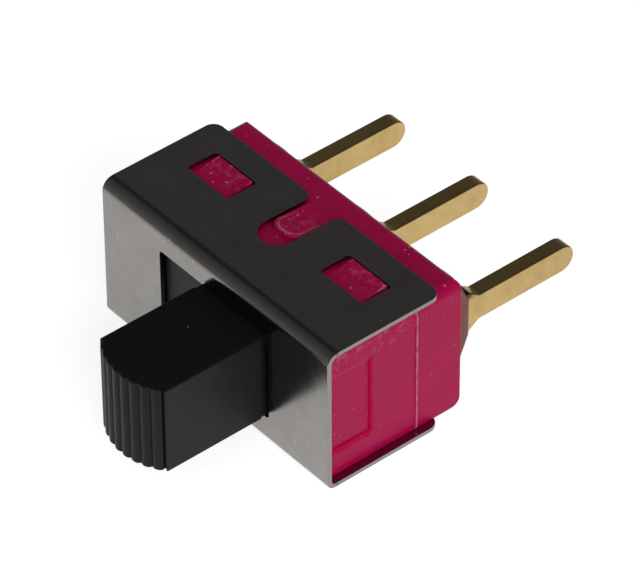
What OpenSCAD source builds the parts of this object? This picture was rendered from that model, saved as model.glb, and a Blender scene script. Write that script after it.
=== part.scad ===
// Miniature slide switch, single pole and two throws, lying on one flange of its steel frame.
// X runs along the slider's travel, Y along the terminals and Z through the two flanges.
// The origin is where the middle terminal leaves the back of the case.
// The slider stands at the +X end of its travel, with the rocker tipped onto the right contact.

/* [Frame] */
// Distance from an end terminal to the end of the frame
frame_past = 1.65; // [1.55:0.05:2.5]
// Height over the outside of both flanges
frame_h = 6.35; // [6.1:0.05:7.5]
// Thickness of the steel sheet
sheet_t = 0.2; // [0.15:0.01:0.25]
// Outside radius of the two bends
bend_r = 0.35; // [0.3:0.05:0.6]
// Depth of the flanges from the front of the web
flange_depth = 5.29; // [4.9:0.01:5.7]
// Radius of the flanges' back corners
flange_corner_r = 0.45; // [0.3:0.05:1]
// Width of the round-ended notch in each flange
notch_w = 1.5; // [1.3:0.05:2.2]
// Depth of the notch from the flange's back edge
notch_depth = 3.01; // [2.6:0.01:3.4]
// Radius where the notch opens into the back edge
notch_mouth_r = 0.45; // [0.2:0.05:0.6]
// Width of each snap window
window_w = 2.34; // [1.8:0.01:2.6]
// Depth of each snap window
window_d = 1.38; // [1:0.01:1.5]
// Distance from the end of the frame to the middle of a window
window_in = 2.6; // [2.1:0.01:2.8]
// Metal left behind each window
window_land = 1.1; // [0.9:0.01:1.4]
// Radius of the corners of the windows and of the slider's slot
punch_r = 0.14; // [0.05:0.01:0.25]

/* [Case] */
// Front of the frame to the back of the case
body_depth = 6.5; // [6.2:0.05:7.5]
// Distance of each end of the case inside the end of the frame
end_recess = 0.31; // [0.2:0.01:0.4]
// Radius of the case's long back edges
case_back_r = 0.4; // [0.3:0.05:0.6]
// Radius of the case's edges above its end faces
case_end_r = 0.5; // [0.3:0.05:0.6]
// Thickness of the end walls
end_wall = 0.49; // [0.4:0.01:0.6]
// Thickness of the long walls under the flanges
side_wall = 0.62; // [0.5:0.01:0.75]
// Radius of the cavity's corners, and of the cover plate's
cavity_corner_r = 0.3; // [0.2:0.05:0.5]
// Thickness of the floor that carries the terminals
floor_t = 1.25; // [1.1:0.05:1.5]
// Depth of the well for the seal in the back of the case
well_depth = 0.4; // [0.25:0.05:0.6]
// Rim left round the well at the ends
well_end_rim = 0.59; // [0.45:0.01:0.7]
// Rim left round the well along the long sides
well_side_rim = 0.72; // [0.55:0.01:0.9]
// Corner radius of the well
well_corner_r = 0.6; // [0.3:0.05:1]
// Height of the locating lugs and of the snap barbs above the case
lug_rise = 0.18; // [0.1:0.01:0.19]
// Radius of the lugs' front corners
lug_corner_r = 0.42; // [0.2:0.01:0.5]
// Gap between a lug and each side of its notch
lug_gap = 0.06; // [0.04:0.01:0.2]
// Distance from the bottom of the notch to the front of the lug
lug_set = 0.88; // [0.5:0.01:1.2]
// Gap between a snap barb and the front of its window
barb_front_gap = 0.12; // [0.05:0.01:0.2]
// Gap between a snap barb and the back of its window
barb_back_gap = 0.03; // [0.02:0.01:0.1]
// Gap between a snap barb and each side of its window
barb_side_gap = 0.2; // [0.1:0.01:0.4]
// Width of the shallow core mark on each end of the case
mark_w = 1.7; // [1.2:0.1:2]
// Height of that core mark
mark_h = 3.42; // [2.5:0.01:3.6]
// Front of the frame to the near edge of the core mark
mark_front = 0.5; // [0.45:0.01:1]
// Depth of the core mark, and height of the parting line behind it
mark_t = 0.05; // [0.03:0.01:0.08]
// Width of the raised parting line
line_w = 0.1; // [0.06:0.01:0.15]
// Front of the frame to the parting line
line_y = 4.38; // [3.5:0.01:5]

/* [Slider] */
// Travel of the slider from one throw to the other
travel = 2.2; // [1.8:0.05:2.3]
// Width of the finger button along the travel
stem_w = 3.7; // [3.2:0.05:3.8]
// Height of the finger button
stem_h = 3.9; // [3.4:0.01:4]
// Front of the frame to the crest of the button
stem_reach = 5.21; // [4.5:0.01:7]
// Radius of the button's crowned front
crown_r = 2.87; // [2.7:0.01:3.2]
// Number of finger ribs, counting the part ribs at the corners
rib_count = 10; // [6:2:12]
// Angle from one finger rib to the next, seen from the centre of the crown
rib_angle = 9.3; // [8.6:0.1:9.6]
// Radius of one finger rib
rib_r = 0.3; // [0.28:0.005:0.34]
// Depth of the core that the finger ribs stand on, below their crests
rib_depth = 0.1; // [0.09:0.01:0.2]
// Width of the button's neck, which passes through the slot
neck_w = 3.4; // [3:0.05:3.6]
// Gap between the wide head of the button and the front of the frame
head_gap = 0.25; // [0.15:0.01:0.35]
// Gap between the neck and each end of its slot
slot_end_gap = 0.25; // [0.1:0.01:0.3]
// Gap between the neck and the long sides of its slot
slot_side_gap = 0.02; // [0.02:0.01:0.06]
// Thickness of the cover plate behind the frame
plate_t = 0.85; // [0.6:0.05:1.1]
// Gap between the cover plate and the back of the frame
plate_face_gap = 0.03; // [0.02:0.01:0.06]
// Gap between the cover plate and the case at the end of the travel
plate_end_gap = 0.07; // [0.03:0.01:0.1]
// Gap between the cover plate and the long walls of the case
plate_side_gap = 0.08; // [0.04:0.01:0.12]
// Width of the boss that guides the plunger
boss_w = 2.6; // [2.2:0.1:3]
// Height of that boss
boss_h = 3; // [2.4:0.1:3.4]
// Radius of the boss's corners
boss_corner_r = 0.4; // [0.2:0.05:0.6]
// Radius of the plunger's bore
bore_r = 0.8; // [0.7:0.01:0.9]
// Depth of the bore in front of the frame
bore_reach = 2.8; // [2:0.05:3.4]

/* [Plunger and spring] */
// Gap between the plunger and its bore
plunger_gap = 0.05; // [0.02:0.01:0.08]
// Length of the plunger from its tip to its spring seat
plunger_len = 2.6; // [2:0.05:3]
// Length of the plunger's tip outside the boss
plunger_out = 1.2; // [0.9:0.05:1.4]
// Radius of the plunger's tip
tip_r = 0.5; // [0.4:0.01:0.6]
// Radius of the spigot inside the spring
spigot_r = 0.38; // [0.3:0.01:0.42]
// Length of that spigot
spigot_len = 0.7; // [0.4:0.05:1]
// Thickness of the spring wire
wire_d = 0.18; // [0.14:0.01:0.2]
// Gap between the spring and its bore
spring_gap = 0.07; // [0.04:0.01:0.12]
// Number of coils in the spring
coils = 8; // [6:1:10]

/* [Rocker] */
// Thickness of the rocker strip
rocker_t = 0.2; // [0.15:0.01:0.25]
// Width of the rocker strip
rocker_w = 2.7; // [2.5:0.05:3.2]
// Radius of the rocker's corners
rocker_corner_r = 0.4; // [0.2:0.05:0.6]
// Angle of each arm of the rocker from straight
arm_rise = 5; // [3:0.5:6]
// Radius of the bead that the rocker turns on
bead_r = 0.15; // [0.1:0.01:0.17]
// Gap between the bead and its groove in the centre terminal
bead_gap = 0.02; // [0.01:0.01:0.04]
// Length of each arm past the middle of its contact
arm_past = 0.7; // [0.55:0.05:0.9]
// Gap between the rocker's waist and the centre terminal's horns
waist_gap = 0.1; // [0.06:0.01:0.15]
// Gap between the rocker and what presses on it
touch_gap = 0.04; // [0.03:0.01:0.06]

/* [Terminals] */
// Spacing of the terminals
pitch = 4.7; // [4.5:0.05:5.2]
// Thickness of the terminal strip
blade_t = 0.65; // [0.4:0.05:0.7]
// Width of each blade at its tip
blade_w = 1.18; // [0.9:0.01:1.4]
// Width of each blade where it leaves the case
root_w = 1.8; // [1.5:0.05:2]
// Length of the wide root behind the case
root_len = 1.3; // [1.1:0.05:1.8]
// Length of the taper from the root to the blade
taper_len = 0.45; // [0.2:0.05:0.8]
// Back of the case to the tips of the terminals
blade_reach = 6.35; // [4:0.05:8]
// Gap between a terminal and its slot in the case
terminal_gap = 0.02; // [0.01:0.01:0.05]
// Outer radius of the fold in the end terminals
fold_r = 0.45; // [0.2:0.05:0.5]
// Distance from a blade to the contact on its leg
leg_reach = 0.85; // [0.8:0.05:1.1]
// Length of the leg past its contact
leg_past = 0.2; // [0.1:0.05:0.4]
// Radius of each contact button
contact_r = 0.5; // [0.4:0.01:0.6]
// Height of each contact button above its leg
contact_h = 0.15; // [0.12:0.01:0.3]
// Radius of the shank that is staked into the leg
shank_r = 0.22; // [0.15:0.01:0.3]
// Gap between the shank and its hole
stake_gap = 0.01; // [0.01:0.01:0.03]
// Width over the centre terminal's two horns
horn_w = 3.2; // [3:0.05:3.6]
// Width of each horn
horn_t = 0.45; // [0.3:0.01:0.5]
// Height of the horns above the rocker's seat
horn_rise = 0.7; // [0.5:0.05:0.9]

/* [Seal] */
// Height of the seal above the back of the case
seal_rise = 0.5; // [0.2:0.05:0.7]
// Height of the seal where it climbs a terminal
climb = 1.1; // [0.8:0.05:1.3]
// Radius of the seal where it starts to climb
climb_r = 2.15; // [1.6:0.05:2.2]
// Radius of the seal at the top of the climb
climb_top_r = 0.95; // [0.92:0.01:1.1]

/* [Hidden] */
$fn = 64;
over = 1;

// Frame and case, as levels along Y and half sizes along X and Z
frame_x = pitch + frame_past;
window_x = frame_x - window_in;
web_y = -body_depth;
web_in_y = web_y + sheet_t;
flange_y = web_y + flange_depth;
case_x = frame_x - end_recess;
case_z = frame_h / 2 - sheet_t;
case_front_r = bend_r - sheet_t + 0.05;
cavity_x = case_x - end_wall;
cavity_z = case_z - side_wall;
floor_y = -floor_t;
well_x = case_x - well_end_rim;
well_z = case_z - well_side_rim;
window_y = flange_y - window_land - window_d / 2;
notch_y = flange_y - notch_depth;
lug_y = notch_y + lug_set;
terminal_places = [-pitch, 0, pitch];

// Slider
slider_x = travel / 2;
slot_x = (neck_w + travel) / 2 + slot_end_gap;
slot_z = stem_h / 2 + slot_side_gap;
plate_x = cavity_x - plate_end_gap - travel / 2;
plate_z = cavity_z - plate_side_gap;
plate_y = web_in_y + plate_face_gap;
crown_y = web_y - stem_reach + crown_r;

// Contacts, rocker and plunger, stacked from the floor towards the front
seat_y = floor_y - blade_t - contact_h;
contact_x = pitch - leg_reach;
tip_y = seat_y - rocker_t - touch_gap;
boss_y = tip_y - plunger_out;
spring_seat_y = tip_y - plunger_len;
bore_end_y = web_y - bore_reach;
plunger_r = bore_r - plunger_gap;
waist_x = blade_t / 2 + waist_gap;
waist_w = horn_w - 2 * horn_t - 2 * waist_gap;
arm_len = contact_x + arm_past;
coil_r = bore_r - spring_gap - wire_d / 2;

// A rectangle of half sizes x and y with four corners of radius r
module round_rect(x, y, r) {
    square([2 * x, 2 * (y - r)], center = true);
    square([2 * (x - r), 2 * y], center = true);
    for (i = [-1, 1], j = [-1, 1])
        translate([i * (x - r), j * (y - r)]) circle(r);
}

// A rectangle of half width x from y0 to y1, with its two corners at y1 rounded by r
module round_end(x, y0, y1, r) {
    inner_y = y1 - sign(y1 - y0) * r;
    translate([-x, min(y0, inner_y)]) square([2 * x, abs(inner_y - y0)]);
    translate([r - x, min(y1, inner_y)]) square([2 * (x - r), r]);
    for (i = [-1, 1])
        translate([i * (x - r), inner_y]) circle(r);
}

// Extrudes a plan drawn in X and Y through z on both sides of the middle
module plan(z) {
    translate([0, 0, -z]) linear_extrude(2 * z) children();
}

// Extrudes a section drawn in Z and Y over x on both sides of the middle
module section(x) {
    rotate([0, -90, 0]) translate([0, 0, -x]) linear_extrude(2 * x) children();
}

// Extrudes an elevation drawn in X and Z from y0 to y1
module elevation(y0, y1) {
    translate([0, y1, 0]) rotate([90, 0, 0]) linear_extrude(y1 - y0) children();
}

// A cylinder or cone along Y, of radius r0 at y0 and r1 at y1
module along_y(y0, y1, r0, r1) {
    translate([0, y0, 0]) rotate([-90, 0, 0]) cylinder(h = y1 - y0, r1 = r0, r2 = r1);
}

// Repeats what follows on the flange side above the middle and below it
module both_flanges() {
    for (side = [0, 1]) mirror([0, 0, side]) children();
}

// Plan of the notch, open at the flange's back edge with a rounded mouth
module notch_plan() {
    r = notch_w / 2;
    translate([0, notch_y + r]) circle(r);
    translate([-r, notch_y + r]) square([notch_w, notch_depth - r + over]);
    for (side = [-1, 1])
        difference() {
            translate([side * (r + notch_mouth_r / 2), flange_y])
                square([notch_mouth_r, 2 * notch_mouth_r], center = true);
            translate([side * (r + notch_mouth_r), flange_y - notch_mouth_r]) circle(notch_mouth_r);
        }
}

// The folded steel channel: a slotted web and two flanges with windows and notches
module frame() {
    color("silver") difference() {
        intersection() {
            section(frame_x) difference() {
                round_end(frame_h / 2, flange_y, web_y, bend_r);
                round_end(case_z, flange_y + over, web_in_y, bend_r - sheet_t);
            }
            plan(frame_h) round_end(frame_x, web_y, flange_y, flange_corner_r);
        }
        elevation(web_y - over, web_in_y + over) round_rect(slot_x, slot_z, punch_r);
        plan(frame_h) notch_plan();
        for (side = [-1, 1])
            plan(frame_h) translate([side * window_x, window_y])
                round_rect(window_w / 2, window_d / 2, punch_r);
    }
}

// Lug that lies in the notch, highest at its rounded front
module lug() {
    intersection() {
        plan(frame_h / 2) round_end(notch_w / 2 - lug_gap, flange_y, lug_y, lug_corner_r);
        section(notch_w) polygon([[cavity_z, lug_y], [case_z + lug_rise, lug_y],
            [case_z, flange_y], [cavity_z, flange_y]]);
    }
}

// Snap barb that rises towards the back of its window
module barb() {
    front_y = window_y - window_d / 2 + barb_front_gap;
    back_y = window_y + window_d / 2 - barb_back_gap;
    section(window_w / 2 - barb_side_gap) polygon([[cavity_z, front_y], [case_z, front_y],
        [case_z + lug_rise, back_y], [cavity_z, back_y]]);
}

// What is cut from the case: the cavity, the seal's well, the terminals' slots and the core marks
module case_cuts() {
    elevation(web_in_y - over, floor_y) round_rect(cavity_x, cavity_z, cavity_corner_r);
    elevation(-well_depth, over) round_rect(well_x, well_z, well_corner_r);
    for (place = terminal_places)
        translate([place, 0, 0])
            elevation(floor_y - over, over)
                square([blade_t + 2 * terminal_gap, root_w + 2 * terminal_gap], center = true);
    for (side = [-1, 1])
        translate([side * case_x, web_y + mark_front + mark_w / 2, 0])
            cube([2 * mark_t, mark_w, mark_h], center = true);
}

// Outline of the case seen from the front: rounded above its end faces and square below them
module case_outline() {
    round_rect(case_x, case_z, case_end_r);
    translate([-case_x, -case_z]) square([2 * case_x, case_z]);
}

// The moulded case: an open box behind the web, with lugs and barbs that key it to the frame
module case() {
    line_top = case_z - case_end_r;
    line_foot = line_w - case_z;
    color("crimson") difference() {
        union() {
            intersection() {
                section(case_x) intersection() {
                    round_end(case_z, over, web_in_y, case_front_r);
                    round_end(case_z, web_y, 0, case_back_r);
                }
                elevation(web_y, over) case_outline();
            }
            both_flanges() lug();
            both_flanges() for (side = [-1, 1]) translate([side * window_x, 0, 0]) barb();
            for (side = [-1, 1])
                translate([side * case_x, web_y + line_y, (line_top + line_foot) / 2])
                    cube([2 * mark_t, line_w, line_top - line_foot], center = true);
        }
        case_cuts();
    }
}

// Plan of the finger button: a crowned front of round ribs, running back into the plate
module button_plan() {
    back_y = plate_y + plate_t / 2;
    intersection() {
        translate([-stem_w / 2, crown_y - crown_r]) square([stem_w, back_y - crown_y + crown_r]);
        union() {
            translate([-stem_w / 2, crown_y]) square([stem_w, back_y - crown_y]);
            translate([0, crown_y]) circle(crown_r - rib_depth);
            for (i = [0:rib_count - 1])
                translate([0, crown_y]) rotate(rib_angle * (i - (rib_count - 1) / 2))
                    translate([0, rib_r - crown_r]) circle(rib_r);
        }
    }
}

// The finger button, cut in at its two sides to leave the neck that passes through the slot
module button() {
    head_y = web_y - head_gap;
    back_y = plate_y + plate_t;
    difference() {
        plan(stem_h / 2) button_plan();
        for (side = [-1, 1])
            translate([side * (neck_w + over) / 2, (head_y + back_y) / 2, 0])
                cube([over, back_y - head_y, stem_h + over], center = true);
    }
}

// The moulded slider: finger button, cover plate behind the web, and the boss bored for the plunger
module slider() {
    color("dimgray") translate([slider_x, 0, 0]) difference() {
        union() {
            button();
            elevation(plate_y, plate_y + plate_t) round_rect(plate_x, plate_z, cavity_corner_r);
            elevation(plate_y, boss_y) round_rect(boss_w / 2, boss_h / 2, boss_corner_r);
        }
        along_y(bore_end_y, boss_y + over, bore_r, bore_r);
    }
}

// The plunger: a round-nosed pin with a spigot that centres the spring
module plunger() {
    nose_y = tip_y - tip_r;
    cone_y = nose_y - plunger_r + tip_r;
    color("ivory") translate([slider_x, 0, 0]) {
        translate([0, nose_y, 0]) sphere(tip_r);
        along_y(cone_y, nose_y, plunger_r, tip_r);
        along_y(spring_seat_y, cone_y, plunger_r, plunger_r);
        along_y(spring_seat_y - spigot_len, spring_seat_y, spigot_r, spigot_r);
    }
}

// The coil spring in the slider's bore, swept as rings of wire along a helix
module plunger_spring() {
    steps = 16;
    sides = 8;
    rings = steps * coils;
    start_y = bore_end_y + wire_d / 2;
    rise = spring_seat_y - bore_end_y - wire_d;
    points = [for (i = [0:rings], j = [0:sides - 1])
        let (turn = 360 * i / steps, round = 360 * j / sides, r = coil_r + wire_d / 2 * cos(round))
            [r * cos(turn), start_y + rise * i / rings + wire_d / 2 * sin(round), r * sin(turn)]];
    skin = [for (i = [0:rings - 1], j = [0:sides - 1])
        let (a = i * sides + j, b = i * sides + (j + 1) % sides) [a, b, b + sides, a + sides]];
    ends = [[for (j = [sides - 1:-1:0]) j], [for (j = [0:sides - 1]) rings * sides + j]];
    color("gray") translate([slider_x, 0, 0]) polyhedron(points, concat(skin, ends));
}

// The see-saw strip, tipped until its right arm lies level: two arms that rise from a waisted middle,
// with a bead under the middle that turns in the centre terminal's groove
module rocker_contact() {
    arm = [cos(arm_rise), -sin(arm_rise)];
    square_to_arm = [-sin(arm_rise), -cos(arm_rise)];
    low_end = (arm_len + over) * arm;
    high_end = low_end + rocker_t * square_to_arm;
    color("goldenrod") translate([0, seat_y, 0]) rotate([0, 0, arm_rise]) {
        difference() {
            intersection() {
                plan(rocker_w / 2) polygon([[0, 0], low_end, high_end, [0, -rocker_t / cos(arm_rise)],
                    [-high_end[0], high_end[1]], [-low_end[0], low_end[1]]]);
                elevation(-arm_len, over) round_rect(arm_len, rocker_w / 2, rocker_corner_r);
            }
            both_flanges() translate([0, 0, (waist_w + over) / 2])
                cube([2 * waist_x, over, over], center = true);
        }
        plan(waist_w / 2) circle(bead_r);
    }
}

// Outline of a blade from y0 to its round tip, with a wide root and a taper
module blade_outline(y0) {
    tip_centre_y = blade_reach - blade_w / 2;
    taper_y = root_len + taper_len;
    polygon([[-root_w / 2, y0], [-root_w / 2, root_len],
        [-blade_w / 2, taper_y], [-blade_w / 2, tip_centre_y],
        [blade_w / 2, tip_centre_y], [blade_w / 2, taper_y],
        [root_w / 2, root_len], [root_w / 2, y0]]);
    translate([0, tip_centre_y]) circle(blade_w / 2);
}

// The common terminal: its wide head sits on the floor and holds the rocker between two horns
module centre_terminal() {
    saddle_w = horn_w - 2 * horn_t;
    color("gold") {
        section(blade_t / 2) blade_outline(floor_y - blade_t / 2);
        difference() {
            section(blade_t / 2) difference() {
                translate([-horn_w / 2, seat_y - horn_rise]) square([horn_w, floor_y - seat_y + horn_rise]);
                translate([-saddle_w / 2, seat_y - horn_rise - over]) square([saddle_w, horn_rise + over]);
            }
            plan(saddle_w / 2) translate([0, seat_y]) circle(bead_r + bead_gap);
        }
    }
}

// An end terminal at +X: the strip comes through the floor and folds over towards the middle
module end_terminal() {
    leg_y = floor_y - blade_t;
    leg_len = leg_reach + contact_r + leg_past;
    hole_r = shank_r + stake_gap;
    color("gold") translate([pitch, 0, 0]) difference() {
        union() {
            section(blade_t / 2) blade_outline(leg_y + fold_r);
            plan(root_w / 2) difference() {
                translate([-leg_len, leg_y]) square([leg_len + blade_t / 2, blade_t]);
                difference() {
                    translate([blade_t / 2 - fold_r, leg_y - over]) square([fold_r + over, fold_r + over]);
                    translate([blade_t / 2 - fold_r, leg_y + fold_r]) circle(fold_r);
                }
            }
        }
        translate([-leg_reach, 0, 0]) along_y(leg_y - over, floor_y + over, hole_r, hole_r);
    }
}

// The terminals at the two ends
module right_terminal() { end_terminal(); }
module left_terminal() { mirror([1, 0, 0]) end_terminal(); }

// A contact button at +X, with a shank through the terminal's leg
module contact() {
    color("khaki") translate([contact_x, 0, 0]) {
        along_y(seat_y, floor_y - blade_t, contact_r, contact_r);
        along_y(floor_y - blade_t, floor_y, shank_r, shank_r);
    }
}

// The contact buttons at the two ends
module right_contact() { contact(); }
module left_contact() { mirror([1, 0, 0]) contact(); }

// The poured seal: it fills the well, stands proud of it and climbs the root of every terminal
module terminal_seal() {
    color("tan") difference() {
        intersection() {
            elevation(-well_depth, climb) round_rect(well_x, well_z, well_corner_r);
            union() {
                elevation(-well_depth, seal_rise) square(2 * frame_x, center = true);
                for (place = terminal_places)
                    translate([place, 0, 0]) along_y(seal_rise, climb, climb_r, climb_top_r);
            }
        }
        for (place = terminal_places)
            translate([place, 0, 0]) section(blade_t / 2) blade_outline(floor_y);
    }
}

frame();
case();
slider();
plunger();
plunger_spring();
rocker_contact();
left_terminal();
centre_terminal();
right_terminal();
left_contact();
right_contact();
terminal_seal();
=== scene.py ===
"""Dresses the slide switch: sheet, mouldings, terminals, seal and spring, with their finishes.

Every shape is made in millimetres in the part's own frame, and brought to metres when it is kept.
"""

import functools
import math

import bmesh
import bpy
from mathutils import Matrix, Vector

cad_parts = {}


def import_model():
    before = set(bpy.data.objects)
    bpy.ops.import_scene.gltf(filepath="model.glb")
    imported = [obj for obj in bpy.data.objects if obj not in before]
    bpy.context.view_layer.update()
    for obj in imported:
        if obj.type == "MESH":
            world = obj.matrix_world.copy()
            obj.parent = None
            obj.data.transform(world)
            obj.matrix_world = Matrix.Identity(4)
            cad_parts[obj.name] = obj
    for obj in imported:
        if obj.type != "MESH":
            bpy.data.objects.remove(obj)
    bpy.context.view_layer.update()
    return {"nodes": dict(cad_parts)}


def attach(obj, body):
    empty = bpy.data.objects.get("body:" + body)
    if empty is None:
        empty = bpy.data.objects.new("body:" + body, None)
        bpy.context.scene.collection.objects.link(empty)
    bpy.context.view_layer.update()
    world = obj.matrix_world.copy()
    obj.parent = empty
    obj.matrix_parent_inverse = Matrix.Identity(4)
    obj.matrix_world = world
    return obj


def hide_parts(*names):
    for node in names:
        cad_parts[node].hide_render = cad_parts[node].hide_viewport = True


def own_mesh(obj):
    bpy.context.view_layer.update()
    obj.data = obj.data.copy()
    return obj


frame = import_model()

MM = 0.001

# Steel frame, in millimetres, as in the part's source
FRAME_X = 6.35
FRAME_HALF = 3.175
SHEET = 0.2
SHEET_EDGE = 0.025
BEND_R = {1: 0.5, -1: 0.35}
CREASE_AT = 0.42
CREASE_DEEP = 0.008
CREASE_WIDE = 0.05
WEB_Y = -6.5
FLANGE_Y = -1.21
FLANGE_CORNER = 0.45
NOTCH_HALF = 0.75
NOTCH_BOTTOM = -4.22
NOTCH_MOUTH = 0.45
WINDOW_X = 3.75
WINDOW_Y = (-3.69, -2.31)
WINDOW_HALF = 1.17
SLOT_HALF = (3.05, 1.97)
PUNCH_R = 0.14

# Case
CASE_X = 6.04
CASE_Z = 2.975
WELL = (5.45, 2.255, 0.6)
WELL_DEPTH = 0.4
LINE_Y = -2.12
MARK_Y = (-6.0, -4.3)
MARK_HALF = 1.71
CASE_EDGE = 0.05
LUG_CORE = (0.1, -2.78)
LUG_EDGE_R = 0.46
BARB_HALF = 0.95

# Slider
SLIDER_X = 1.1
BUTTON_HALF = (1.85, 1.95)
BUTTON_EDGE = 0.1
NECK_HALF = 1.79
HEAD_BACK = -6.75
CROWN_R = 2.87
CROWN_Y = -8.84
RIB_ANGLE = 9.3
RIB_R = 0.3
RIB_DEPTH = 0.1
CORNER_GROOVE = 0.06
CORNER_LAND = 38.9
PLATE_Y = -6.27

# Plunger spring
SPRING_FROM = -9.3
SPRING_TO = -4.89
COILS = 8
WIRE_R = 0.09
COIL_R = 0.64

# Terminals and seal
PITCH = 4.7
BLADE_EDGE = 0.07
SEAL_RIM = 0.03
SEAL_TOP = 0.5
SEAL_CLIMB = 1.1
SEAL_SHOULDER = 0.3
CLIMB_R = (0.95, 2.15)


def placed(name, data):
    """A new object in the scene."""
    made = bpy.data.objects.new(name, data)
    bpy.context.scene.collection.objects.link(made)
    return made


# Shapes -------------------------------------------------------------------------------------

def arc(cx, cy, radius, start, end, steps=8):
    """Points of an arc between two angles in degrees."""
    turns = [math.radians(start + (end - start) * i / steps) for i in range(steps + 1)]
    return [(cx + radius * math.cos(t), cy + radius * math.sin(t)) for t in turns]


def round_rect(cx, cy, half_x, half_y, radius, steps=6):
    """Closed outline of a rectangle with round corners."""
    points = []
    for sx, sy, start in ((1, 1, 0), (-1, 1, 90), (-1, -1, 180), (1, -1, 270)):
        points += arc(cx + sx * (half_x - radius), cy + sy * (half_y - radius),
                      radius, start, start + 90, steps)
    return points


def plate(name, loops, thickness, edge, rings=2):
    """A flat plate about Z = 0 from closed outlines, holes among them, with its edges rounded."""
    curve = bpy.data.curves.new(name, "CURVE")
    curve.dimensions = "2D"
    curve.fill_mode = "BOTH"
    curve.extrude = thickness / 2 - edge
    curve.bevel_depth = edge
    curve.bevel_resolution = rings
    curve.offset = -edge
    for loop in loops:
        spline = curve.splines.new("POLY")
        spline.points.add(len(loop) - 1)
        for point, (x, y) in zip(spline.points, loop):
            point.co = (x, y, 0, 1)
        spline.use_cyclic_u = True
    holder = bpy.data.objects.new(name, curve)
    mesh = bpy.data.meshes.new_from_object(holder)
    bpy.data.objects.remove(holder)
    bpy.data.curves.remove(curve)
    body = bmesh.new()
    body.from_mesh(mesh)
    bmesh.ops.remove_doubles(body, verts=body.verts, dist=1e-4)
    bmesh.ops.recalc_face_normals(body, faces=body.faces)
    bpy.data.meshes.remove(mesh)
    return body


def kept(name, body, finish, ride, replaces=(), modifiers=()):
    mesh = bpy.data.meshes.new(name)
    body.to_mesh(mesh)
    body.free()
    for polygon in mesh.polygons:
        polygon.use_smooth = True
    piece = placed(name, mesh)
    for kind, values in (*modifiers, ("WEIGHTED_NORMAL", {"keep_sharp": True, "weight": 80})):
        modifier = piece.modifiers.new(kind.lower(), kind)
        for key, value in values.items():
            setattr(modifier, key, value)
    graph = bpy.context.evaluated_depsgraph_get()
    done = bpy.data.meshes.new_from_object(piece.evaluated_get(graph))
    piece.modifiers.clear()
    piece.data = done
    done.name = name
    done.transform(Matrix.Scale(MM, 4))
    done.materials.clear()
    done.materials.append(finish)
    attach(piece, ride)
    if replaces:
        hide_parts(*replaces)
    return piece


def softened(node, weight_of, smooth_angle=30):
    """A merged copy of a CAD solid in millimetres, its edges weighted for rounding."""
    body = bmesh.new()
    body.from_mesh(frame["nodes"][node].data)
    bmesh.ops.scale(body, vec=(1 / MM,) * 3, verts=body.verts)
    bmesh.ops.remove_doubles(body, verts=body.verts, dist=1e-4)
    bmesh.ops.dissolve_limit(body, angle_limit=math.radians(0.5), verts=body.verts,
                             edges=body.edges, use_dissolve_boundaries=False)
    bmesh.ops.recalc_face_normals(body, faces=body.faces)
    layer = body.edges.layers.float.new("bevel_weight_edge")
    for edge in body.edges:
        if len(edge.link_faces) == 2 and edge.calc_face_angle() > math.radians(smooth_angle):
            middle = (edge.verts[0].co + edge.verts[1].co) / 2
            edge[layer] = weight_of(middle)
    return body


def creased(body, angle=35):
    """Keeps the edges sharper than an angle, in degrees, crisp in the shading."""
    for edge in body.edges:
        edge.smooth = len(edge.link_faces) < 2 or edge.calc_face_angle() < math.radians(angle)


def rounding(width, segments=3):
    """The modifier that rounds weighted edges."""
    return ("BEVEL", {"limit_method": "WEIGHT", "width": width, "segments": segments,
                      "use_clamp_overlap": False, "miter_outer": "MITER_ARC"})


# Finishes -----------------------------------------------------------------------------------

class Nodes:
    """Adds nodes to a node tree. A value is a number, a tuple or another node's output."""

    def __init__(self, tree):
        self.tree = tree

    def feed(self, socket, value):
        if isinstance(value, bpy.types.NodeSocket):
            self.tree.links.new(value, socket)
        else:
            socket.default_value = value

    def node(self, kind, inputs=None, **settings):
        made = self.tree.nodes.new(kind)
        for key, value in settings.items():
            setattr(made, key, value)
        for key, value in (inputs or {}).items():
            self.feed(made.inputs[key], value)
        return made

    def calc(self, operation, a, b=0.0):
        return self.node("ShaderNodeMath", {0: a, 1: b}, operation=operation).outputs[0]

    def product(self, *values):
        return functools.reduce(lambda a, b: self.calc("MULTIPLY", a, b), values)

    def greatest(self, *values):
        return functools.reduce(lambda a, b: self.calc("MAXIMUM", a, b), values)

    def ramp(self, value, low, high, start=0.0, end=1.0):
        """Maps low..high onto start..end, and holds outside."""
        return self.node("ShaderNodeMapRange", {
            "Value": value, "From Min": low, "From Max": high, "To Min": start, "To Max": end,
        }).outputs["Result"]

    def blend(self, share, first, second):
        """A mix of two colours."""
        made = self.node("ShaderNodeMix", data_type="RGBA")
        self.feed(made.inputs["Factor"], share)
        colours = [s for s in made.inputs if s.type == "RGBA"]
        for socket, value in zip(colours, (first, second)):
            self.feed(socket, value if isinstance(value, bpy.types.NodeSocket) else (*value, 1))
        return [s for s in made.outputs if s.type == "RGBA"][0]


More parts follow.
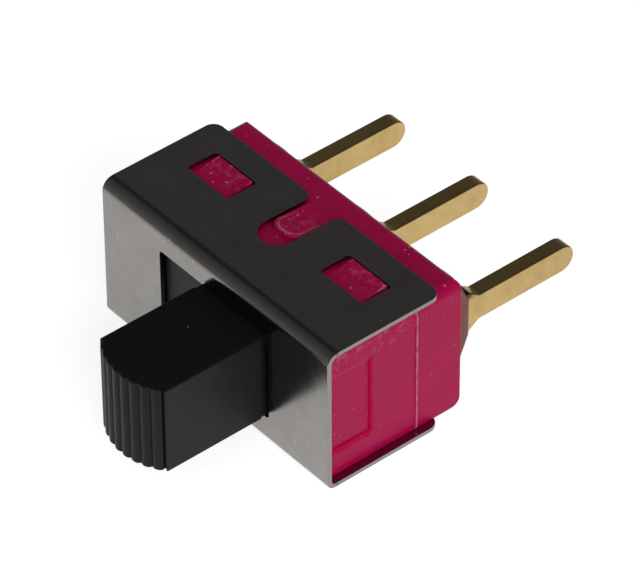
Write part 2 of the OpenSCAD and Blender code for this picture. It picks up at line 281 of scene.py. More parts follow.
class Finish(Nodes):
    """One procedural material, built node by node on coordinates in millimetres."""

    def __init__(self, name, **constants):
        self.material = bpy.data.materials.new(name)
        self.material.use_nodes = True
        super().__init__(self.material.node_tree)
        self.shader = self.tree.nodes["Principled BSDF"]
        for key, value in constants.items():
            self.shader.inputs[key.replace("_", " ")].default_value = value
        self.place = self.node("ShaderNodeTexCoord").outputs["Object"]

    def to(self, name, value):
        self.feed(self.shader.inputs[name], value)

    def grid(self, scale=(1, 1, 1), move=(0, 0, 0)):
        """Object coordinates in millimetres times a scale."""
        return self.node("ShaderNodeMapping", {
            "Vector": self.place, "Scale": [s / MM for s in scale], "Location": move,
        }).outputs["Vector"]

    def noise(self, scale, detail=3.0, roughness=0.55, grid=None):
        return self.node("ShaderNodeTexNoise", {
            "Vector": grid or self.grid(), "Scale": scale, "Detail": detail,
            "Roughness": roughness,
        }).outputs["Fac"]

    def cells(self, scale, output="Distance"):
        return self.node("ShaderNodeTexVoronoi", {
            "Vector": self.grid(), "Scale": scale, "Randomness": 1.0}).outputs[output]

    def relief(self, height, depth, below=None):
        """Bump of a depth in millimetres."""
        inputs = {"Height": height, "Distance": depth * MM, "Strength": 1.0}
        if below:
            inputs["Normal"] = below
        return self.node("ShaderNodeBump", inputs).outputs["Normal"]

    def axes(self):
        split = self.node("ShaderNodeSeparateXYZ", {"Vector": self.grid()})
        return split.outputs["X"], split.outputs["Y"], split.outputs["Z"]

    def near(self, value, centre, half, fade):
        """1 within half of the centre, fading to 0 beyond it."""
        off = self.calc("ABSOLUTE", self.calc("SUBTRACT", value, centre))
        return self.ramp(off, half, half + fade, 1.0, 0.0)

    def specks(self, per_mm, radius, share):
        """Small round specks: one possible in every cell, of which only a share is there."""
        spots = self.ramp(self.cells(per_mm), radius * 0.6, radius, 1.0, 0.0)
        lot = self.node("ShaderNodeSeparateColor", {
            "Color": self.cells(per_mm, output="Color")}).outputs["Red"]
        return self.calc("MULTIPLY", spots, self.calc("LESS_THAN", lot, share))


def stainless_sheet():
    """Rolled stainless sheet: fine grain down the web, faint mottling, a few scratches, and painted
    shade along the crease beside each bend.
    """
    f = Finish("stainless_sheet", Metallic=1.0)
    mottle = f.noise(0.9, 4.0, 0.6)
    grain = f.noise(1.0, 4.0, 0.6, f.grid((26, 1.1, 1.1)))
    scratch = f.noise(1.0, 2.0, 0.5, f.grid((9, 1.6, 1.6), (3, 1, 2)))
    scratches = f.ramp(scratch, 0.715, 0.73)
    dust = f.specks(2.5, 0.09, 0.13)
    tone = f.blend(f.ramp(mottle, 0.3, 0.7), (0.250, 0.239, 0.226), (0.290, 0.278, 0.263))
    tone = f.blend(f.product(scratches, 0.3), tone, (0.6, 0.58, 0.56))
    y, z = f.axes()[1:]
    # Painted shade: the crease line on the flanges by the bends is darkened in colour, standing in
    # for the shade it catches.
    crease_shade = f.near(y, WEB_Y + CREASE_AT + 0.02, 0.03, 0.12)
    crease_shade = f.product(crease_shade, f.ramp(f.calc("ABSOLUTE", z), 3.0, 3.1))
    tone = f.blend(f.product(crease_shade, 0.66), tone, (0.06, 0.056, 0.052))
    f.to("Base Color", f.blend(f.product(dust, 0.6), tone, (0.7, 0.69, 0.67)))
    rough = f.ramp(mottle, 0.25, 0.75, 0.15, 0.21)
    f.to("Roughness", f.calc("ADD", rough, f.product(dust, 0.4)))
    f.to("Normal", f.relief(grain, 0.004))
    return f.material


def edge_wear_and_highlights(f, x, y, raised):
    """Pale crescents at the front of the lugs and pale sides of the barbs, partly wear and partly
    painted highlight on these edges.
    """
    aside = f.calc("ABSOLUTE", x)
    lug_x = f.greatest(f.calc("SUBTRACT", aside, LUG_CORE[0]), 0.0)
    lug_y = f.greatest(f.calc("SUBTRACT", LUG_CORE[1], y), 0.0)
    from_lug = f.calc("SQRT", f.calc("ADD", f.product(lug_x, lug_x), f.product(lug_y, lug_y)))
    # Painted highlight, with some wear, along the lugs' front edges.
    lug_wear_and_highlight = f.product(f.near(from_lug, LUG_EDGE_R, 0.02, 0.05),
                         f.calc("LESS_THAN", aside, 0.8),
                         f.ramp(f.noise(2.5, 4.0, 0.7), 0.36, 0.6))
    # Painted highlight, with some wear, along the barbs' sides.
    barb_wear_and_highlight = f.product(f.near(f.calc("SUBTRACT", aside, WINDOW_X), BARB_HALF, 0.02, 0.06),
                     f.ramp(f.noise(4.0, 4.0, 0.7), 0.4, 0.6))
    return f.product(raised, f.greatest(lug_wear_and_highlight, barb_wear_and_highlight))


def pale_wear_and_highlights(f, x, y, z, ends, upper):
    """Share of pale: wear on the line round the case, dust, raised tops and rubs; painted highlight
    along the mark's top ledge; and the lugs' and barbs' edges, partly worn and partly painted
    highlight.
    """
    line = f.product(ends, f.near(y, LINE_Y, 0.022, 0.04),
                     f.ramp(f.noise(3.2, 3.0), 0.36, 0.56, 0.25, 1.0))
    dust = f.greatest(f.specks(2.6, 0.14, 0.14), f.specks(4.5, 0.16, 0.1))
    raised = f.ramp(f.calc("ABSOLUTE", z), CASE_Z + 0.03, CASE_Z + 0.17)
    tops = f.product(raised, f.ramp(f.noise(3.5, 4.0, 0.65), 0.5, 0.66))
    rub = f.product(upper, f.ramp(f.noise(3.0, 5.0, 0.75), 0.52, 0.68))
    # Painted highlight along the top ledge of the mark in the end face.
    ledge_highlight = f.product(ends, f.near(z, MARK_HALF, 0.01, 0.05),
                      f.near(y, MARK_Y[0], MARK_Y[1] - MARK_Y[0], 0.05))
    return f.greatest(f.product(line, 0.42), f.product(dust, 0.5),
                      f.product(edge_wear_and_highlights(f, x, y, raised), 0.4), f.product(tops, 0.18),
                      f.product(rub, 0.3), f.product(ledge_highlight, 0.18))


def core_mark(f, y, z):
    """The torn back and foot of the mark that the core left in the end face."""
    ragged = f.product(f.calc("SUBTRACT", f.noise(4.0, 3.0, 0.7), 0.5), 0.3)
    back = f.product(f.near(f.calc("ADD", y, ragged), MARK_Y[1] + 0.04, 0.05, 0.12),
                     f.near(z, 0.0, MARK_HALF, 0.1))
    foot = f.product(f.near(f.calc("ADD", z, ragged), -MARK_HALF - 0.06, 0.09, 0.12),
                     f.near(y, MARK_Y[0], MARK_Y[1] - MARK_Y[0] + 0.05, 0.05))
    return f.greatest(back, foot)


def crimson_moulding():
    """Crimson moulded resin: fine orange peel, a rough core mark, scuffs with painted highlights on
    raised edges, and a painted highlight on the mark's ledge.
    """
    f = Finish("crimson_moulding", IOR=1.5, Specular_IOR_Level=0.14)
    x, y, z = f.axes()
    cloud = f.noise(0.7, 4.0, 0.6)
    tone = f.blend(f.ramp(cloud, 0.3, 0.7), (0.335, 0.0003, 0.050), (0.39, 0.0006, 0.065))
    ends = f.ramp(f.calc("ABSOLUTE", x), CASE_X - 0.08, CASE_X - 0.03)
    upper = f.product(ends, f.ramp(z, 1.5, 2.5), f.ramp(y, LINE_Y - 0.9, LINE_Y + 0.1, 1.0, 0.1))
    wet = f.product(upper, f.ramp(f.noise(2.3, 4.0, 0.7), 0.5, 0.42))
    rough = f.greatest(f.product(ends, core_mark(f, y, z)), f.product(wet, 0.45))
    tone = f.blend(rough, tone, (0.47, 0.0002, 0.060))
    pale = pale_wear_and_highlights(f, x, y, z, ends, upper)
    f.to("Base Color", f.blend(pale, tone, (0.75, 0.35, 0.43)))
    f.to("Roughness", f.calc("ADD", f.ramp(cloud, 0.3, 0.7, 0.28, 0.38), f.product(rough, 0.5)))
    peel = f.relief(f.noise(7.0, 3.0, 0.6), 0.004)
    torn = f.relief(f.product(rough, f.noise(6.0, 3.0, 0.7)), 0.05, peel)
    f.to("Normal", f.relief(cloud, 0.02, torn))
    return f.material


def black_moulding():
    """Black satin moulded nylon, with faint draw marks and a little pale dust."""
    f = Finish("black_moulding", IOR=1.5, Specular_IOR_Level=0.2)
    fine = f.noise(9.0, 3.0, 0.6)
    draw = f.noise(1.0, 3.0, 0.55, f.grid((6, 6, 0.5)))
    dust = f.specks(2.5, 0.08, 0.1)
    tone = f.blend(f.ramp(draw, 0.3, 0.7), (0.0048, 0.0048, 0.0068), (0.0070, 0.0070, 0.0092))
    f.to("Base Color", f.blend(f.product(dust, 0.5), tone, (0.5, 0.5, 0.5)))
    f.to("Roughness", f.ramp(fine, 0.3, 0.7, 0.40, 0.52))
    f.to("Normal", f.relief(fine, 0.004))
    return f.material


def gold_plate():
    """Gold over a copper alloy strip: soft rolled ripple and slightly uneven plating."""
    f = Finish("gold_plate", Metallic=1.0)
    cloud = f.noise(0.8, 3.0, 0.55)
    grain = f.noise(1.0, 4.0, 0.6, f.grid((3, 1.2, 14)))
    tone = f.blend(f.ramp(cloud, 0.3, 0.7), (0.47, 0.330, 0.122), (0.56, 0.405, 0.172))
    y, z = f.axes()[1:]
    root = f.product(f.ramp(y, 1.3, 1.6, 1.0, 0.0), f.ramp(z, 0.55, 0.75))
    tarnish = f.product(f.ramp(f.noise(1.4, 3.0, 0.6), 0.5, 0.75), 0.22)
    f.to("Base Color", f.blend(root, f.blend(tarnish, tone, (0.20, 0.12, 0.045)),
                               (0.075, 0.05, 0.025)))
    f.to("Roughness", f.ramp(cloud, 0.3, 0.7, 0.22, 0.32))
    f.to("Normal", f.relief(grain, 0.0015))
    return f.material


def contact_button():
    """Bright contact alloy with a turned face."""
    f = Finish("contact_button", Metallic=1.0)
    wear = f.noise(4.0, 3.0)
    f.to("Base Color", f.blend(f.ramp(wear, 0.3, 0.7), (0.70, 0.62, 0.42), (0.78, 0.72, 0.55)))
    f.to("Roughness", f.ramp(wear, 0.3, 0.7, 0.15, 0.28))
    f.to("Normal", f.relief(f.noise(12.0, 2.0), 0.001))
    return f.material


def spring_wire():
    """Drawn spring wire."""
    f = Finish("spring_wire", Metallic=1.0)
    drawn = f.noise(6.0, 3.0)
    f.to("Base Color", f.blend(drawn, (0.45, 0.44, 0.43), (0.6, 0.59, 0.58)))
    f.to("Roughness", f.ramp(drawn, 0.3, 0.7, 0.2, 0.34))
    return f.material


def natural_moulding():
    """Uncoloured bearing resin of the plunger."""
    f = Finish("natural_moulding", IOR=1.5)
    cloud = f.noise(2.5, 3.0)
    f.to("Base Color", f.blend(cloud, (0.70, 0.66, 0.56), (0.78, 0.75, 0.66)))
    f.to("Roughness", f.ramp(cloud, 0.3, 0.7, 0.38, 0.5))
    f.to("Normal", f.relief(f.noise(9.0, 2.0), 0.002))
    return f.material


def sealing_resin():
    """Clouded potting resin, mauve-brown and satin, darker where it climbs."""
    f = Finish("sealing_resin", IOR=1.5, Specular_IOR_Level=0.06, Transmission_Weight=0.06)
    y = f.axes()[1]
    cloud = f.noise(0.8, 4.0, 0.6)
    bubbles = f.specks(2.2, 0.06, 0.2)
    tone = f.blend(f.ramp(cloud, 0.3, 0.7), (0.180, 0.060, 0.053), (0.245, 0.090, 0.080))
    tone = f.blend(f.ramp(y, 0.85, 1.1), tone, (0.05, 0.024, 0.014))
    f.to("Base Color", f.blend(f.product(bubbles, 0.2), tone, (0.5, 0.38, 0.33)))
    f.to("Roughness", f.ramp(cloud, 0.3, 0.7, 0.3, 0.45))
    f.to("Normal", f.relief(cloud, 0.03))
    return f.material


# Pieces -------------------------------------------------------------------------------------

def folded_frame(finish):
    """The steel channel: a flat blank with its slot, windows and notches, folded twice."""
    def flat(side):
        return FRAME_HALF - BEND_R[side]

    def run(side):
        return flat(side) + BEND_R[side] * math.pi / 2

    def along(side, y):
        """Place on the blank of a place on a flange."""
        return run(side) + y - WEB_Y - BEND_R[side]

    corner, mouth = FLANGE_CORNER, NOTCH_MOUTH
    rim, loops = [], []
    for side in (1, -1):
        back, notch = along(side, FLANGE_Y), along(side, NOTCH_BOTTOM) + NOTCH_HALF
        half = arc(FRAME_X - corner, back - corner, corner, 0, 90, 12)
        half += arc(NOTCH_HALF + mouth, back - mouth, mouth, 90, 180, 10)
        half += arc(0, notch, NOTCH_HALF, 0, -180, 24)
        half += arc(-NOTCH_HALF - mouth, back - mouth, mouth, 0, 90, 10)
        half += arc(corner - FRAME_X, back - corner, corner, 90, 180, 12)
        rim += half if side > 0 else [(x, -v) for x, v in reversed(half)]
        window_v = (along(side, WINDOW_Y[0]) + along(side, WINDOW_Y[1])) / 2
        window_d = (WINDOW_Y[1] - WINDOW_Y[0]) / 2
        for x in (-WINDOW_X, WINDOW_X):
            loops.append(round_rect(x, side * window_v, WINDOW_HALF, window_d, PUNCH_R))
    loops += [rim, round_rect(0, 0, *SLOT_HALF, PUNCH_R)]
    body = plate("frame_blank", loops, SHEET, SHEET_EDGE)
    creases = 12
    for side in (-1, 1):
        lines = [flat(side) + BEND_R[side] * math.pi / 2 * i / creases
                 for i in range(creases + 1)]
        lines += [along(side, WEB_Y + CREASE_AT) + 0.03 * i for i in range(-4, 5)]
        for line in lines:
            bmesh.ops.bisect_plane(
                body, geom=[*body.verts, *body.edges, *body.faces], dist=1e-6,
                plane_co=(0, side * line, 0), plane_no=(0, 1, 0))
    for vertex in body.verts:
        u, v, w = vertex.co
        side = -1 if v < 0 else 1
        bend = BEND_R[side]
        if w > 0:
            off = (abs(v) - along(side, WEB_Y + CREASE_AT)) / CREASE_WIDE
            w -= CREASE_DEEP * math.exp(-off * off)
        turn = min(max((abs(v) - flat(side)) / bend, 0), math.pi / 2)
        past = max(abs(v) - run(side), 0)
        radius = bend - SHEET / 2 + w
        vertex.co = (u, WEB_Y + bend - radius * math.cos(turn) + past,
                     side * (min(abs(v), flat(side)) + radius * math.sin(turn)))
    bmesh.ops.recalc_face_normals(body, faces=body.faces)
    return kept("steel_frame", body, finish, "housing", ["frame"])


def moulded_case(finish):
    """The crimson case, with every moulded edge slightly rounded."""
    def weight(at):
        if abs(at.x) > CASE_X - 0.06 and at.y > WEB_Y + 0.4 and abs(at.z) < CASE_Z - 0.3 \
                and at.y < -0.3:
            return 0.25
        return 1.0
    body = softened("case", weight)
    return kept("moulded_case", body, finish, "housing", ["case"],
                [rounding(CASE_EDGE)])


def slider_block(finish):
    """The cover plate and the boss behind the web, from the moulded slider."""
    body = softened("slider", lambda at: 1.0 if at.y > PLATE_Y - 0.2 else 0.0)
    front = [*body.verts, *body.edges, *body.faces]
    bmesh.ops.bisect_plane(body, geom=front, dist=1e-5, plane_co=(0, PLATE_Y + 0.02, 0),
                           plane_no=(0, -1, 0), clear_outer=True)
    rims = [e for e in body.edges if e.is_boundary]
    bmesh.ops.triangle_fill(body, use_beauty=True, use_dissolve=False, edges=rims)
    bmesh.ops.recalc_face_normals(body, faces=body.faces)
    creased(body)
    return kept("slider_block", body, finish, "slider", ["slider"])


def input_socket(tree, name, kind):
    """Adds a named input to a tree, and returns its identifier."""
    return tree.interface.new_socket(name, in_out="INPUT", socket_type=kind).identifier


def grown(name, build, values, finish):
    """Runs a Geometry Nodes tree once and returns its result as a shape in millimetres."""
    tree = bpy.data.node_groups.new(name, "GeometryNodeTree")
    tree.interface.new_socket("Geometry", in_out="OUTPUT", socket_type="NodeSocketGeometry")
    names = {}
    for key, value in values.items():
        kind = "NodeSocketInt" if isinstance(value, int) else "NodeSocketFloat"
        names[key] = input_socket(tree, key, kind)
    names["Material"] = input_socket(tree, "Material", "NodeSocketMaterial")
    entry = tree.nodes.new("NodeGroupInput")
    grow = Grow(tree, entry)
    shape = build(grow)
    whole = grow.node("GeometryNodeRealizeInstances", {"Geometry": shape}).outputs[0]
    dressed = grow.node("GeometryNodeSetMaterial", {
        "Geometry": whole, "Material": entry.outputs["Material"]}).outputs[0]
    leave = tree.nodes.new("NodeGroupOutput")
    tree.links.new(dressed, leave.inputs[0])
    holder = placed(name, bpy.data.meshes.new(name))
    modifier = holder.modifiers.new("grow", "NODES")
    modifier.node_group = tree
    for key, value in values.items():
        modifier[names[key]] = value
    modifier[names["Material"]] = finish
    graph = bpy.context.evaluated_depsgraph_get()
    mesh = bpy.data.meshes.new_from_object(holder.evaluated_get(graph))
    holder.modifiers.clear()
    bpy.data.objects.remove(holder)
    body = bmesh.new()
    body.from_mesh(mesh)
    bpy.data.meshes.remove(mesh)
    bmesh.ops.remove_doubles(body, verts=body.verts, dist=1e-4)
    bmesh.ops.recalc_face_normals(body, faces=body.faces)
    return body


class Grow(Nodes):
    """Adds nodes to a Geometry Nodes tree."""

    def __init__(self, tree, entry):
        super().__init__(tree)
        self.entry = entry

    def given(self, name):
        return self.entry.outputs[name]

    def point(self, x=0.0, y=0.0, z=0.0):
        return self.node("ShaderNodeCombineXYZ", {"X": x, "Y": y, "Z": z}).outputs[0]


def button_tree(g):
    """The button, lofted from a drum: ribbed round its crown, stepped in at the neck, and with
    worn edges above and below."""
    per_rib, front_count, edge_steps = 28, 251, 4
    last_valley = 3.99
    count, layers = front_count + 6, 2 * edge_steps + 1
    drum = g.node("GeometryNodeMeshCylinder", {
        "Vertices": count, "Side Segments": layers, "Radius": 1.0, "Depth": 2.0},
        fill_type="NGON").outputs[0]
    spot = g.node("ShaderNodeSeparateXYZ", {
        "Vector": g.node("GeometryNodeInputPosition").outputs[0]})
    around = g.calc("ARCTAN2", spot.outputs["Y"], spot.outputs["X"])
    place = g.calc("ROUND", g.product(around, count / (2 * math.pi)))
    place = g.calc("FLOORED_MODULO", place, float(count))
    layer = g.calc("ROUND", g.product(g.calc("ADD", spot.outputs["Z"], 1.0), layers / 2))
    upper = g.calc("SUBTRACT", layer, layers / 2)
    side = g.calc("SIGN", upper)
    from_end = g.calc("SUBTRACT", layers / 2, g.calc("ABSOLUTE", upper))
    bend = g.product(from_end, math.pi / 2 / edge_steps)
    inset = g.product(g.given("Edge"), g.calc("SUBTRACT", 1.0, g.calc("SINE", bend)))
    drop = g.product(g.given("Edge"), g.calc("SUBTRACT", 1.0, g.calc("COSINE", bend)))
    height = g.product(side, g.calc("SUBTRACT", g.given("Half height"), drop))

    step = g.calc("DIVIDE", g.given("Rib angle"), float(per_rib))
    turn = g.product(g.calc("SUBTRACT", place, (front_count - 1) / 2), step)
    rib = g.calc("FLOOR", g.calc("DIVIDE", turn, g.given("Rib angle")))
    crest = g.product(g.calc("ADD", rib, 0.5), g.given("Rib angle"))
    off = g.calc("SUBTRACT", turn, crest)
    seat = g.calc("SUBTRACT", g.given("Crown radius"), g.given("Rib radius"))
    thick = g.calc("SUBTRACT", g.given("Rib radius"), inset)
    aside = g.product(seat, g.calc("SINE", off))
    rest = g.calc("SUBTRACT", g.product(thick, thick), g.product(aside, aside))
    reach = g.calc("ADD", g.product(seat, g.calc("COSINE", off)),
                   g.calc("SQRT", g.greatest(rest, 0.0)))
    core = g.calc("SUBTRACT", g.calc("SUBTRACT", g.given("Crown radius"), g.given("Core depth")),
                  inset)
    reach = g.greatest(reach, core)
    wide = g.calc("ABSOLUTE", turn)
    valley = g.product(g.given("Rib angle"), last_valley)
    groove = g.product(g.calc("GREATER_THAN", wide, valley),
                       g.calc("LESS_THAN", wide, g.given("Corner land")))
    reach = g.calc("SUBTRACT", reach, g.product(groove, g.given("Corner groove")))
    half = g.calc("SUBTRACT", g.given("Half width"), inset)
    x = g.product(reach, g.calc("SINE", turn))
    x = g.greatest(g.calc("MINIMUM", x, half), g.product(half, -1.0))
    y = g.calc("SUBTRACT", g.given("Crown centre"),
               g.product(reach, g.calc("COSINE", turn)))
    front = g.point(x, y)

    neck = g.calc("SUBTRACT", g.given("Neck half width"), inset)
    head = g.calc("SUBTRACT", g.given("Head back"), inset)
    back = g.given("Neck back")
    behind = g.node("GeometryNodeIndexSwitch", data_type="VECTOR")
    for _ in range(4):
        behind.index_switch_items.new()
    g.tree.links.new(g.calc("SUBTRACT", place, float(front_count)), behind.inputs["Index"])
    corners = ((half, head, 1.0), (neck, head, 1.0), (neck, back, 1.0),
               (neck, back, -1.0), (neck, head, -1.0), (half, head, -1.0))
    for socket, (wide, level, hand) in zip(list(behind.inputs)[1:], corners):
        g.tree.links.new(g.point(g.product(wide, hand), level), socket)
    outline = g.node("GeometryNodeSwitch", {
        "Switch": g.calc("GREATER_THAN", place, front_count - 0.5),
        "False": front, "True": behind.outputs[0]}, input_type="VECTOR").outputs[0]
    flat = g.node("ShaderNodeSeparateXYZ", {"Vector": outline})
    return g.node("GeometryNodeSetPosition", {
        "Geometry": drum,
        "Position": g.point(g.calc("ADD", flat.outputs["X"], g.given("Middle")),
                            flat.outputs["Y"], height)}).outputs[0]


def finger_button(finish):
    """The button, made in one from its crown to its neck."""
    values = {"Rib angle": math.radians(RIB_ANGLE), "Crown radius": CROWN_R,
              "Rib radius": RIB_R, "Core depth": RIB_DEPTH, "Half width": BUTTON_HALF[0],
              "Crown centre": CROWN_Y, "Neck half width": NECK_HALF, "Head back": HEAD_BACK,
              "Neck back": PLATE_Y + 0.3, "Half height": BUTTON_HALF[1], "Edge": BUTTON_EDGE,
              "Corner groove": CORNER_GROOVE, "Corner land": math.radians(CORNER_LAND),
              "Middle": SLIDER_X}
    body = grown("finger_button", button_tree, values, finish)
    creased(body)
    return kept("finger_button", body, finish, "slider")


def coil_tree(g):
    """Wire swept along a helix, with its axis along Y."""
    spiral = g.node("GeometryNodeCurveSpiral", {
        "Resolution": 40, "Rotations": g.given("Coils"), "Start Radius": g.given("Coil radius"),
        "End Radius": g.given("Coil radius"), "Height": g.given("Height")}).outputs[0]
    ring = g.node("GeometryNodeCurvePrimitiveCircle", {
        "Resolution": 12, "Radius": g.given("Wire radius")}).outputs[0]
    wire = g.node("GeometryNodeCurveToMesh", {
        "Curve": spiral, "Profile Curve": ring, "Fill Caps": True}).outputs[0]
    turned = g.node("GeometryNodeTransform", {
        "Geometry": wire, "Rotation": (-math.pi / 2, 0, 0)}).outputs[0]
    return g.node("GeometryNodeSetPosition", {
        "Geometry": turned, "Offset": g.point(g.given("Middle"), g.given("Start"))}).outputs[0]


def coil_spring(finish):
    """The plunger's spring, as a smooth sweep."""
    values = {"Coils": float(COILS), "Coil radius": COIL_R, "Wire radius": WIRE_R,
              "Height": SPRING_TO - SPRING_FROM - 2 * WIRE_R, "Middle": SLIDER_X,
              "Start": SPRING_FROM + WIRE_R}
    body = grown("coil_spring", coil_tree, values, finish)
    spring = kept("coil_spring", body, finish, "slider", ["plunger_spring"])
    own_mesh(spring)
    return spring


def terminal(name, node, finish):
    """A blade and its inner end, with the rolled edges of plated strip."""
    body = softened(node, lambda at: 1.0 if at.y > 0 else 0.4)
    return kept(name, body, finish, "housing", [node], [rounding(BLADE_EDGE, 4)])


def seal_height(x, z):
    """Level of the seal: it stands up from the well's wall and climbs to each blade."""
    half_x, half_z, corner = WELL
    inset_x, inset_z = half_x - abs(x), half_z - abs(z)
    rim = min(inset_x, inset_z)
    if inset_x < corner and inset_z < corner:
        rim = corner - math.hypot(corner - inset_x, corner - inset_z)
    shoulder = min(max(rim, 0) / SEAL_SHOULDER, 1)
    swell = math.sqrt(1 - (1 - shoulder) ** 2)
    top_r, foot_r = CLIMB_R
    level = SEAL_TOP
    for place in (-PITCH, 0, PITCH):
        far = math.hypot(x - place, z)
        share = min(max((foot_r - far) / (foot_r - top_r), 0), 1)
        level = max(level, SEAL_TOP + (SEAL_CLIMB - SEAL_TOP) * share)
    return SEAL_RIM + (level - SEAL_RIM) * swell


def poured_seal(finish):
    """The potting resin over the back of the case, as one closed skin."""
    half_x, half_z, corner = WELL
    body = bmesh.new()
    columns, rows = 180, 70
    top, low = [], []
    for i in range(columns + 1):
        top.append([])
        low.append([])
        for j in range(rows + 1):
            x = half_x * (2 * i / columns - 1)
            z = half_z * (2 * j / rows - 1)
            over_x, over_z = abs(x) - half_x + corner, abs(z) - half_z + corner
            if over_x > 0 and over_z > 0:
                longest = max(over_x, over_z)
                shrink = longest / math.hypot(over_x, over_z)
                x = math.copysign(half_x - corner + over_x * shrink, x)
                z = math.copysign(half_z - corner + over_z * shrink, z)
            top[i].append(body.verts.new((x, seal_height(x, z), z)))
            low[i].append(body.verts.new((x, -WELL_DEPTH, z)))
    for i in range(columns):
        for j in range(rows):
            body.faces.new((top[i][j], top[i][j + 1], top[i + 1][j + 1], top[i + 1][j]))
            body.faces.new((low[i][j], low[i + 1][j], low[i + 1][j + 1], low[i][j + 1]))
    for i in range(columns):
        for j in (0, rows):
            body.faces.new((top[i][j], top[i + 1][j], low[i + 1][j], low[i][j]))
    for j in range(rows):
        for i in (0, columns):
            body.faces.new((top[i][j], top[i][j + 1], low[i][j + 1], low[i][j]))
    bmesh.ops.recalc_face_normals(body, faces=body.faces)
    return kept("poured_seal", body, finish, "housing", ["terminal_seal"])


# Studio -------------------------------------------------------------------------------------

CAMERA_AZIMUTH = 50.285
CAMERA_ELEVATION = 40.984
CAMERA_ROLL = -0.354
CAMERA_LENS = 292.24
CAMERA_FROM = Vector((0, -3.5, 0))
CAMERA_OFF = (1.5086, 0.3609, 187.82)


def direction(azimuth, elevation):
    """The way towards a viewer or a lamp, from angles in degrees."""
    a, e = math.radians(azimuth), math.radians(elevation)
    return Vector((math.sin(a) * math.cos(e), -math.cos(a) * math.cos(e), math.sin(e)))


def camera():
    """A long lens from the front right, above."""
    a, roll = math.radians(CAMERA_AZIMUTH), math.radians(CAMERA_ROLL)
    back = direction(CAMERA_AZIMUTH, CAMERA_ELEVATION)
    level = Vector((math.cos(a), math.sin(a), 0))
    rise = back.cross(level)
    right = math.cos(roll) * level + math.sin(roll) * rise
    up = math.cos(roll) * rise - math.sin(roll) * level
    data = bpy.data.cameras.new("camera")
    data.lens = CAMERA_LENS
    data.sensor_width = 36
    data.clip_start, data.clip_end = 0.01, 10
    eye = placed("camera", data)
    turn = Matrix((right, up, back)).transposed().to_4x4()
    place = CAMERA_FROM + CAMERA_OFF[0] * right + CAMERA_OFF[1] * up + CAMERA_OFF[2] * back
    eye.matrix_world = Matrix.Translation(place * MM) @ turn
    bpy.context.scene.camera = eye


def seen_white(nodes):
    """A value that is 1 for camera, glossy and transmission rays."""
    path = nodes.node("ShaderNodeLightPath").outputs
    return nodes.greatest(path["Is Camera Ray"], path["Is Glossy Ray"],
                          path["Is Transmission Ray"])


def world(fill):
    """White for what is seen, and a plain grey level for what is lit."""
    made = bpy.data.worlds.new("studio")
    bpy.context.scene.world = made
    made.use_nodes = True
    nodes = Nodes(made.node_tree)
    base = nodes.tree.nodes["Background"]
    nodes.feed(base.inputs["Color"], nodes.blend(seen_white(nodes), (fill,) * 3, (1, 1, 1)))
    nodes.feed(base.inputs["Strength"], 1.0)


def sheet_of(name, half, z, material):
    """A large horizontal square of the studio."""
    mesh = bpy.data.meshes.new(name)
    mesh.from_pydata([(-half, -half, z), (half, -half, z), (half, half, z), (-half, half, z)],
                     [], [(0, 1, 2, 3)])
    made = placed(name, mesh)
    mesh.materials.append(material)


def floor(level):
    """A plain pale floor that keeps the object's shadow."""
    material = bpy.data.materials.new("floor")
    material.use_nodes = True
    nodes = Nodes(material.node_tree)
    shader = nodes.tree.nodes["Principled BSDF"].inputs
    nodes.feed(shader["Base Color"], (0.75, 0.75, 0.75, 1))
    nodes.feed(shader["Roughness"], 1.0)
    nodes.feed(shader["Specular IOR Level"], 0.0)
    nodes.feed(shader["Emission Color"], (1, 1, 1, 1))
    nodes.feed(shader["Emission Strength"], nodes.product(seen_white(nodes), level))
    sheet_of("floor", 1.5, -FRAME_HALF * MM, material)


def tent_finish(overhead, low):
    """Dark overhead and paler low down and in front, and clear near the object."""
    material = bpy.data.materials.new("dark_tent")
    material.use_nodes = True
    nodes = Nodes(material.node_tree)
    nodes.tree.nodes.clear()
    place = nodes.node("ShaderNodeTexCoord").outputs["Object"]
    aim = nodes.node("ShaderNodeVectorMath", {0: place}, operation="NORMALIZE")
    split = nodes.node("ShaderNodeSeparateXYZ", {0: aim.outputs["Vector"]}).outputs
    level = nodes.ramp(split["Z"], 0.0, 0.8, low, overhead)
    front = nodes.ramp(split["Y"], 0.3, 0.1, 1.0, 1.35)
    glow = nodes.node("ShaderNodeEmission", {"Strength": nodes.product(level, front)})
    far = nodes.node("ShaderNodeVectorMath", {0: place}, operation="LENGTH").outputs["Value"]
    mix = nodes.node("ShaderNodeMixShader", {
        0: nodes.ramp(far, 0.008, 0.045),
        1: nodes.node("ShaderNodeBsdfTransparent").outputs[0], 2: glow.outputs[0]})
    nodes.node("ShaderNodeOutputMaterial", {"Surface": mix.outputs[0]})
    return material


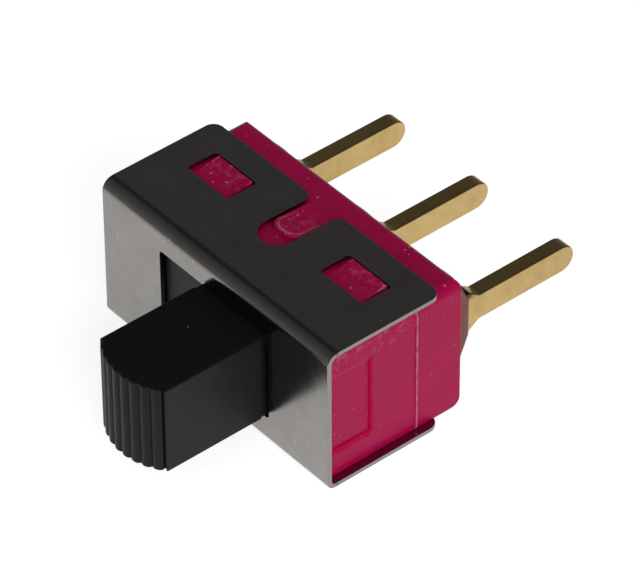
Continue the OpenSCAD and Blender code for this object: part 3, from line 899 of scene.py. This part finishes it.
def dark_tent(overhead, low):
    """A dark tent seen only in reflections, open to the white floor near the object."""
    material = tent_finish(overhead, low)
    body = bmesh.new()
    low_z, reach, turns = -FRAME_HALF * MM + 2e-5, 0.9, 48
    rim = [(0.007, low_z), (0.05, low_z), (0.2, low_z), (reach, low_z)]
    rim += [(reach * math.cos(t), max(reach * math.sin(t), low_z))
            for t in (math.radians(7.5 * i) for i in range(1, 13))]
    rings = [[body.verts.new((r * math.cos(a), r * math.sin(a), z))
              for a in (2 * math.pi * j / turns for j in range(turns))] for r, z in rim[:-1]]
    for lower, upper in zip(rings, rings[1:]):
        for j in range(turns):
            body.faces.new((lower[j], lower[j - 1], upper[j - 1], upper[j]))
    body.faces.new(rings[-1])
    mesh = bpy.data.meshes.new("dark_tent")
    body.to_mesh(mesh)
    body.free()
    tent = placed("dark_tent", mesh)
    mesh.materials.append(material)
    tent.visible_camera = False
    tent.visible_diffuse = False
    tent.visible_transmission = False
    tent.visible_shadow = False


def lamp(name, azimuth, elevation, distance, size, level):
    """A soft square lamp whose level is the share of full exposure that it adds face on."""
    data = bpy.data.lights.new(name, "AREA")
    data.size = size
    data.energy = level * math.pi ** 2 * distance ** 2
    made = placed(name, data)
    back = direction(azimuth, elevation)
    turn = back.to_track_quat("Z", "Y").to_matrix().to_4x4()
    made.matrix_world = Matrix.Translation(back * distance) @ turn
    made.visible_glossy = False


def main():
    steel, crimson, black = stainless_sheet(), crimson_moulding(), black_moulding()
    gold, wire = gold_plate(), spring_wire()
    folded_frame(steel)
    moulded_case(crimson)
    finger_button(black)
    slider_block(black)
    coil_spring(wire)
    for side in ("left", "centre", "right"):
        terminal(side + "_blade", side + "_terminal", gold)
    poured_seal(sealing_resin())
    resin, alloy = natural_moulding(), contact_button()
    finishes = {"plunger": resin, "rocker_contact": gold,
                "left_contact": alloy, "right_contact": alloy}
    for node, finish in finishes.items():
        mesh_object = frame["nodes"][node]
        mesh_object.data.materials.clear()
        mesh_object.data.materials.append(finish)
    camera()
    world(fill=0.3)
    floor(level=0.72)
    dark_tent(overhead=0.07, low=0.18)
    lamp("side_lamp", azimuth=75, elevation=22, distance=0.5, size=0.35, level=0.68)
    lamp("front_lamp", azimuth=-20, elevation=35, distance=0.6, size=0.7, level=0.12)
    bpy.context.scene.view_settings.view_transform = "Standard"


main()
